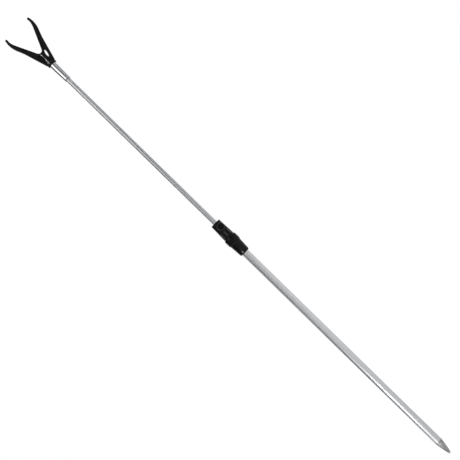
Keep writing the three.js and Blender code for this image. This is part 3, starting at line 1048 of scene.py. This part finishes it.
@dataclass
class UpperStick:
    """The upper tube with its ring and plug below and its plated ferrule above."""

    sides: int = 96
    wall: float = 1.0 * MM
    edge: float = 0.3 * MM
    foot_radius: float = 6.45 * MM
    lip_radius: float = 6.75 * MM
    lip_height: float = 0.8 * MM
    groove_radius: float = 5.7 * MM
    groove_height: float = 1.2 * MM
    top_chamfer: float = 0.4 * MM
    tube_seat: float = 32.2 * MM
    stop_thickness: float = 2.0 * MM
    stop_radius: float = 3.4 * MM
    stud_bore: float = 4.86 * MM
    press_play: float = 0.1 * MM
    eased: float = 0.15 * MM
    tube_steps: int = 24
    belly_steps: int = 24

    def tube(self) -> None:
        """Turns the upper tube."""
        part = Part.INNER_TUBE
        radius, bore = part.radius, part.radius - self.wall
        outline = (
            Outline(bore, part.foot)
            .line(radius - self.edge, part.foot)
            .line(radius, part.foot + self.edge)
            .line(radius, part.top - self.edge, self.tube_steps)
            .line(radius - self.edge, part.top)
            .line(bore, part.top)
        )
        piece(outline.turn(self.sides), part, DRAWN_ALUMINIUM)

    def ferrule(self) -> None:
        """Turns the ferrule: a lip, a groove painted dark as shade, and a belly that swells towards the head.
        """
        part = Part.FERRULE
        foot, top, widest = part.foot, part.top, part.radius
        lip_top = foot + self.lip_height
        groove_top = lip_top + self.groove_height
        tube_bore = Part.INNER_TUBE.radius + self.press_play
        seat = foot + self.tube_seat
        outline = (
            Outline(tube_bore, foot)
            .line(self.lip_radius, foot)
            .line(self.lip_radius, lip_top)
            .line(self.groove_radius, lip_top)
            .line(self.groove_radius, groove_top)
            .line(self.foot_radius, groove_top)
            .curve((widest, (foot + top) / 2), widest, top - self.top_chamfer, self.belly_steps)
            .line(widest - self.top_chamfer, top)
            .line(self.stud_bore, top)
            .line(self.stud_bore, seat + self.stop_thickness)
            .line(self.stop_radius, seat + self.stop_thickness)
            .line(self.stop_radius, seat)
            .line(tube_bore, seat)
        )
        surface = outline.turn(self.sides)
        ease_edges(surface, self.eased)
        shown = piece(surface, part, CHROME_PLATE)
        # the groove and the lip's edge take the finish's dark marked colour: painted shade in the recess
        low, high = lip_top - self.eased, groove_top + self.eased
        rim = self.foot_radius - self.eased
        mark(shown, lambda place: float(low < place.z < high and math.hypot(place.x, place.y) < rim))

    def build(self) -> None:
        """Builds the tube and the ferrule, and dresses the ring and the plug."""
        self.tube()
        self.ferrule()
        dress(Part.GUIDE_RING, NATURAL_NYLON)
        dress(Part.END_PLUG, NATURAL_NYLON)


@dataclass
class RodRest:
    """The moulded head and the threaded stud that it turns on."""

    voxel: float = 0.38 * MM
    polish: int = 14
    polish_factor: float = 0.5
    sides: int = 96
    flare_steps: int = 20
    hub_radius: float = 5.3 * MM
    hub_foot_radius: float = 9.9 * MM
    hub_foot: float = 4.2 * MM
    hub_bend: float = 12.0 * MM
    hub_straight: float = 22.0 * MM
    hub_top: float = 30.8 * MM
    hub_skin: float = 0.6 * MM
    hub_proud: float = 0.12 * MM
    screw: Thread = field(default_factory=lambda: Thread(4.76 * MM, 0.7 * MM, 1.27 * MM))
    collar_radius: float = 5.6 * MM
    collar_foot: float = 14.2 * MM
    collar_thickness: float = 3.5 * MM
    knurls: int = 40
    knurl_crease: float = 20.0

    def moulding(self) -> None:
        """Casts the head afresh from its solid, with the radii of a moulding."""
        surface = bmesh.new()
        surface.from_mesh(frame["nodes"][Part.ROD_REST.value].data)
        bmesh.ops.remove_doubles(surface, verts=surface.verts, dist=WELD)
        shown = piece(surface, Part.ROD_REST, BLACK_PLASTIC)
        cast = shown.modifiers.new("moulded radii", "REMESH")
        cast.mode = "VOXEL"
        cast.voxel_size = self.voxel
        cast.use_smooth_shade = True
        polished = shown.modifiers.new("polish", "SMOOTH")
        polished.factor = self.polish_factor
        polished.iterations = self.polish

    def hub(self) -> None:
        """Turns the hub's polished skin, a closed sleeve that flares towards the skirt."""
        foot = Part.ROD_REST.foot
        outer, inner = self.hub_proud, self.hub_proud - self.hub_skin
        flare_foot, bend, straight = foot + self.hub_foot, foot + self.hub_bend, foot + self.hub_straight
        outside, inside = self.hub_radius + outer, self.hub_radius + inner
        sleeve = (
            Outline(self.hub_foot_radius + inner, flare_foot)
            .line(self.hub_foot_radius + outer, flare_foot)
            .curve((outside, bend), outside, straight, self.flare_steps)
            .line(outside, foot + self.hub_top - self.hub_skin)
            .line(inside, foot + self.hub_top)
            .line(inside, straight)
            .curve((inside, bend), self.hub_foot_radius + inner, flare_foot, self.flare_steps)
        )
        sleeve.points.pop()  # the curve ends where the outline began, and turn() closes it
        fitted(sleeve.turn(self.sides), HUB, Part.ROD_REST, BLACK_PLASTIC)

    def stud(self) -> None:
        """Cuts the stud, with the collar that the head is moulded round."""
        part = Part.HEAD_STUD
        collar_foot = part.foot + self.collar_foot
        collar_top = collar_foot + self.collar_thickness
        collar = (
            Outline(0.0, collar_foot)
            .line(self.collar_radius, collar_foot)
            .line(self.collar_radius, collar_top)
            .line(0.0, collar_top)
            .turn(self.knurls)
        )
        whole = joined([self.screw.cut(part.foot, part.top), collar])
        piece(whole, part, TURNED_STEEL, crease=self.knurl_crease)

    def build(self) -> None:
        """Builds the head and its stud."""
        self.moulding()
        self.hub()
        self.stud()


class SeenBy(Enum):
    """The rays that a lamp or card shows itself to."""

    EVERY_SURFACE = ("visible_diffuse", "visible_glossy", "visible_transmission")
    GLOSS_ONLY = ("visible_glossy",)

    def limit(self, thing: bpy.types.Object) -> None:
        """Hides a lamp or card from all other rays.

        Args:
            thing: the lamp or card.
        """
        for ray in ("camera", "diffuse", "glossy", "transmission", "volume_scatter", "shadow"):
            setattr(thing, "visible_" + ray, "visible_" + ray in self.value)


@dataclass(frozen=True)
class Lamp:
    """A soft lamp of the studio, or a glint, which one piece shows in its gloss only."""

    name: str
    place: tuple[float, float, float]
    width: float
    height: float
    watts: float
    aim: tuple[float, float, float] = (0.0, 0.0, 0.6)
    only_on: str = ""

    def hang(self) -> None:
        """Hangs the lamp, turns it to its aim and keeps a glint to its piece."""
        light = bpy.data.lights.new(self.name, "AREA")
        light.shape = "RECTANGLE"
        light.size, light.size_y = self.width, self.height
        light.energy = self.watts
        lamp = bpy.data.objects.new(self.name, light)
        lamp.location = self.place
        lamp.rotation_euler = (Vector(self.aim) - Vector(self.place)).to_track_quat("-Z", "Y").to_euler()
        bpy.context.scene.collection.objects.link(lamp)
        rays = SeenBy.GLOSS_ONLY if self.only_on else SeenBy.EVERY_SURFACE
        rays.limit(lamp)
        if self.only_on:
            lit = bpy.data.collections.new(self.name + "_lit")
            lit.objects.link(bpy.data.objects[self.only_on])
            lamp.light_linking.receiver_collection = lit


@dataclass(frozen=True)
class Card:
    """An upright card that gloss mirrors: a bright strip, or a dim flag."""

    name: str
    bearing: float
    distance: float
    width: float
    foot: float
    top: float
    level: float

    def stand(self) -> None:
        """Stands the card up, facing the stick, at its bearing from the camera's side."""
        surface = bmesh.new()
        bmesh.ops.create_grid(surface, x_segments=1, y_segments=1, size=UNIT_GRID)
        upright = Matrix.Rotation(math.radians(90.0), 4, "X")
        size = Matrix.Diagonal((self.width, 1.0, self.top - self.foot, 1.0))
        out = Matrix.Translation((0.0, -self.distance, (self.top + self.foot) / 2))
        turn = Matrix.Rotation(-math.radians(self.bearing), 4, "Z")
        bmesh.ops.transform(surface, matrix=turn @ out @ size @ upright, verts=surface.verts)
        material, graph = new_material(self.name)
        glow = graph.add("Emission", Strength=self.level)
        graph.add("OutputMaterial", Surface=glow.outputs[0])
        card = placed(surface, self.name, material)
        SeenBy.GLOSS_ONLY.limit(card)


@dataclass
class Studio:
    """The floor, the white surround, the lamps and the camera of the photograph."""

    eye_distance: float = 2.1
    roll: float = math.radians(45.67)
    pixel: float = 1.98 * MM
    picture_pixels: int = 460
    sensor: float = 36.0
    picture_middle: tuple[float, float, float] = (0.0108, 0.0, 0.620)
    floor_size: float = 24.0
    floor_colour: float = 0.8
    floor_lift: float = 0.45
    surround: float = 0.75
    # each lamp's name, place, width, height and watts, and a glint's aim and piece
    lamps: tuple[Lamp, ...] = (
        Lamp("fill", (1.8, -1.2, 1.6), 1.2, 1.2, 6.0),
        Lamp("hub_glint", (-1.07, -0.43, 1.34), 0.20, 0.62, 105.0, (0.0, 0.0, 1.12), HUB),
        Lamp("hub_foot_glint", (-0.77, -0.31, 1.94), 0.20, 0.69, 17.0, (0.0, 0.0, 1.12), HUB),
        Lamp(
            "sleeve_glint", (-0.0079, -0.0214, 0.5685), 0.0012, 0.0012, 0.006,
            (-0.0026, -0.0109, 0.5712), Part.LOCK_BODY.value + PIECE,
        ),
    )
    # each card's name, bearing in degrees, distance, width, foot, top and level
    cards: tuple[Card, ...] = (
        Card("high_front", -19.0, 1.9, 2.10, 0.63, 4.0, 0.19),
        Card("face_card", 0.0, 1.8, 0.50, 1.53, 1.95, 0.8),
        Card("high_strip", 38.0, 1.9, 0.78, 1.19, 4.0, 1.68),
        Card("middle_side", 40.0, 1.9, 0.95, 0.63, 1.19, 0.32),
        Card("high_flag", 100.0, 1.9, 2.00, 0.63, 4.0, 0.02),
        Card("high_side", -82.0, 1.9, 2.40, 0.63, 4.0, 0.34),
        Card("low_far_side", -75.0, 1.9, 4.00, -0.35, 0.63, 0.90),
        Card("lock_front", -10.0, 1.9, 1.30, 0.40, 0.63, 0.58),
        Card("low_front", -10.0, 1.9, 1.30, -0.35, 0.40, 0.88),
        Card("lock_side", 28.0, 1.95, 1.10, 0.35, 0.80, 0.28),
        Card("low_side", 28.0, 1.95, 1.10, -0.35, 0.35, 0.62),
        Card("low_flag", 74.0, 1.9, 1.50, -0.35, 0.63, 0.04),
        Card("foot_strip", 38.0, 0.36, 0.10, 0.0, 0.13, 9.0),
        Card("foot_flag", 102.0, 0.36, 0.26, 0.0, 0.27, 0.15),
        Card("nose_strip", 42.0, 0.045, 0.014, 0.0, 0.02, 7.0),
    )

    def camera(self) -> None:
        """Sets the camera before the picture's middle, rolled as the stick lies in the photograph."""
        facing = Vector((0.0, -1.0, 0.0))
        up = AXIS * math.cos(self.roll) + Vector((math.sin(self.roll), 0.0, 0.0))
        side = Vector((math.cos(self.roll), 0.0, -math.sin(self.roll)))
        data = bpy.data.cameras.new("camera")
        data.sensor_width = self.sensor
        data.lens = self.sensor * self.eye_distance / (self.picture_pixels * self.pixel)
        data.clip_end = self.floor_size * 4
        camera = bpy.data.objects.new("camera", data)
        place = Matrix.Translation(Vector(self.picture_middle) + facing * self.eye_distance)
        camera.matrix_world = place @ Matrix((side, up, facing)).transposed().to_4x4()
        bpy.context.scene.collection.objects.link(camera)
        bpy.context.scene.camera = camera

    def floor(self) -> None:
        """Lays the pale floor, which shows white but keeps the stick's shadow."""
        surface = bmesh.new()
        bmesh.ops.create_grid(surface, x_segments=1, y_segments=1, size=self.floor_size / 2)
        material, graph = new_material("pale_floor")
        grey = (self.floor_colour, self.floor_colour, self.floor_colour, 1.0)
        matt = graph.add("BsdfDiffuse", Color=grey)
        seen = graph.add("LightPath").outputs["Is Camera Ray"]
        lift = graph.add("Emission", Strength=graph.maths("MULTIPLY", seen, self.floor_lift))
        both = graph.add("AddShader")
        graph.feed(both.inputs[0], matt.outputs[0])
        graph.feed(both.inputs[1], lift.outputs[0])
        graph.add("OutputMaterial", Surface=both.outputs[0])
        floor = placed(surface, "floor", material)

    def world(self) -> None:
        """Surrounds the stick with white, which is dimmer as light than it looks."""
        world = bpy.data.worlds.new("surround")
        world.use_nodes = True
        world.node_tree.nodes.clear()
        graph = Graph(world.node_tree)
        path = graph.add("LightPath")
        seen = graph.maths("MAXIMUM", path.outputs["Is Camera Ray"], path.outputs["Is Transmission Ray"])
        mirrored = graph.maths("MAXIMUM", seen, path.outputs["Is Glossy Ray"])
        strength = graph.between(mirrored, self.surround, 1.0)
        background = graph.add("Background", Color=(1.0, 1.0, 1.0, 1.0), Strength=strength)
        graph.add("OutputWorld", Surface=background.outputs[0])
        bpy.context.scene.world = world

    def build(self) -> None:
        """Builds the studio."""
        self.camera()
        self.floor()
        self.world()
        for lamp in self.lamps:
            lamp.hang()
        for card in self.cards:
            card.stand()
        bpy.context.scene.view_settings.view_transform = "Standard"


def main() -> None:
    """Builds the studio and the stick."""
    logging.basicConfig(level=logging.INFO, format="%(name)s: %(message)s")
    for assembly in (LowerStick(), TwistLock(), UpperStick(), RodRest(), Studio()):
        log.info("building %s", type(assembly).__name__)
        assembly.build()
    bpy.context.view_layer.update()


if __name__ == "__main__":
    main()
